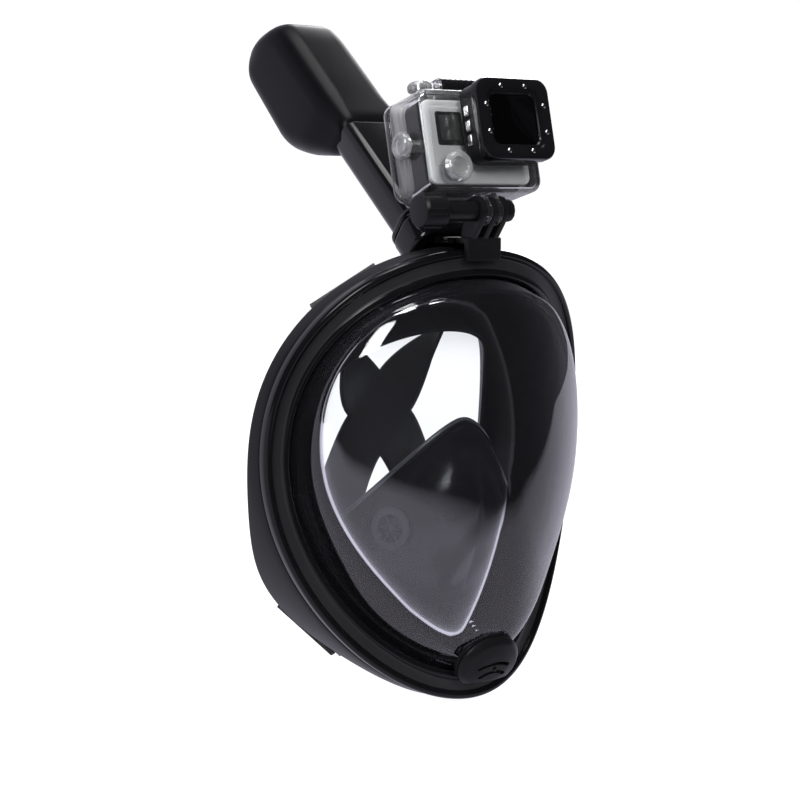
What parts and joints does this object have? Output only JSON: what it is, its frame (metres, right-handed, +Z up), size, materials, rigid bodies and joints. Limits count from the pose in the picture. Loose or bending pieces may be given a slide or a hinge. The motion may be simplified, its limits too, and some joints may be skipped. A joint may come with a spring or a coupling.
{
  "type": "full face snorkel mask",
  "caption": "Full face snorkel mask with clear bubble visor, rigid frame, soft skirt, dry-top snorkel leaning back, head harness and a tilting action camera in a clear case",
  "frame": {"origin": "centre of the face opening, level with the frame's sides", "axes": "+Z up, +X towards the wearer's left, the wearer looks along -Y"},
  "size_m": [0.1966, 0.2265, 0.3475],
  "materials": {
    "gloss_black": "gloss",
    "satin_black": "satin",
    "black_silicone": "satin",
    "grey_silicone": "satin",
    "grey_plastic": "matte",
    "webbing": "woven",
    "clear_lens": "clear gloss",
    "clear_case": "clear gloss",
    "camera_silver": "satin metallic paint",
    "lens_black": "gloss",
    "display": "gloss",
    "steel": "satin"
  },
  "bodies": {
    "mask": {"front_trim_ring": "gloss_black", "rear_frame": "satin_black", "visor_lens": "clear_lens", "face_skirt": "black_silicone", "orinasal_pocket": "black_silicone", "cheek_valve_seat_left": "satin_black", "cheek_valve_seat_right": "satin_black", "chin_valve_seat": "satin_black", "chin_valve_cover": "gloss_black", "snorkel_socket": "gloss_black", "strap_buckle_upper_left": "satin_black", "strap_buckle_lower_left": "satin_black", "strap_buckle_lower_right": "satin_black", "strap_buckle_upper_right": "satin_black", "head_strap": "webbing", "camera_mount": "satin_black", "thumb_nut": "satin_black", "frame_screw_1": "steel", "frame_screw_2": "steel", "frame_screw_3": "steel", "frame_screw_4": "steel", "frame_screw_5": "steel", "frame_screw_6": "steel"},
    "snorkel": {"snorkel_tube": "gloss_black", "snorkel_seal": "grey_silicone", "snorkel_head_base": "gloss_black", "snorkel_head_cap": "gloss_black"},
    "float": {"float_block": "grey_plastic", "float_seal": "grey_silicone"},
    "cheek_flap_left": {"cheek_valve_flap_left": "grey_silicone"},
    "cheek_flap_right": {"cheek_valve_flap_right": "grey_silicone"},
    "chin_flap": {"chin_valve_flap": "grey_silicone"},
    "screw": {"thumb_screw": "satin_black"},
    "camera_case": {"case_front": "clear_case", "case_seal": "grey_silicone", "window_bezel": "satin_black", "window_glass": "clear_lens", "camera_body": "camera_silver", "camera_lens": "lens_black", "camera_display": "display", "door_pin": "steel", "latch_pin": "steel", "bezel_screw_1": "steel", "bezel_screw_2": "steel", "bezel_screw_3": "steel", "bezel_screw_4": "steel", "bezel_screw_5": "steel", "bezel_screw_6": "steel", "bezel_screw_7": "steel", "bezel_screw_8": "steel"},
    "door": {"case_door": "clear_case"},
    "latch": {"case_latch": "satin_black"},
    "power": {"power_button": "steel"},
    "shutter": {"shutter_button": "steel"},
    "side": {"side_button": "steel"}
  },
  "joints": [
    {"name": "snorkel_pull_off", "type": "slide", "parent": "mask", "child": "snorkel", "axis": [0, 0.7815, 0.6239], "range_m": [0, 0.03]},
    {"name": "float_rise", "type": "slide", "parent": "snorkel", "child": "float", "axis": [0, 0, 1], "range_m": [0, 0.007]},
    {"name": "cheek_flap_left_lift", "type": "slide", "parent": "mask", "child": "cheek_flap_left", "axis": [-0.8918, 0.4461, -0.0754], "range_m": [0, 0.0012], "stiffness_N_per_m": 30},
    {"name": "cheek_flap_right_lift", "type": "slide", "parent": "mask", "child": "cheek_flap_right", "axis": [0.8918, 0.4461, -0.0754], "range_m": [0, 0.0012], "stiffness_N_per_m": 30},
    {"name": "chin_flap_lift", "type": "slide", "parent": "mask", "child": "chin_flap", "axis": [0, -0.9397, -0.342], "range_m": [0, 0.0015], "stiffness_N_per_m": 60},
    {"name": "thumb_screw_turn", "type": "hinge", "parent": "mask", "child": "screw", "pos_m": [0, -0.04502, 0.13099], "axis": [1, 0, 0], "continuous": true},
    {"name": "camera_tilt", "type": "hinge", "parent": "mask", "child": "camera_case", "pos_m": [0, -0.04502, 0.13099], "axis": [1, 0, 0], "range_deg": [-2, 60]},
    {"name": "case_door_open", "type": "hinge", "parent": "camera_case", "child": "door", "pos_m": [0, -0.01808, 0.13168], "axis": [-1, 0, 0], "range_deg": [0, 30]},
    {"name": "case_latch_lift", "type": "hinge", "parent": "camera_case", "child": "latch", "pos_m": [0, -0.01963, 0.19035], "axis": [1, 0, 0], "range_deg": [0, 60]},
    {"name": "power_button_press", "type": "slide", "parent": "camera_case", "child": "power", "axis": [0, 0.9711, -0.2385], "range_m": [0, 0.001], "stiffness_N_per_m": 500},
    {"name": "shutter_button_press", "type": "slide", "parent": "camera_case", "child": "shutter", "axis": [0, -0.2385, -0.9711], "range_m": [0, 0.001], "stiffness_N_per_m": 500},
    {"name": "side_button_press", "type": "slide", "parent": "camera_case", "child": "side", "axis": [1, 0, 0], "range_m": [0, 0.001], "stiffness_N_per_m": 500}
  ]
}
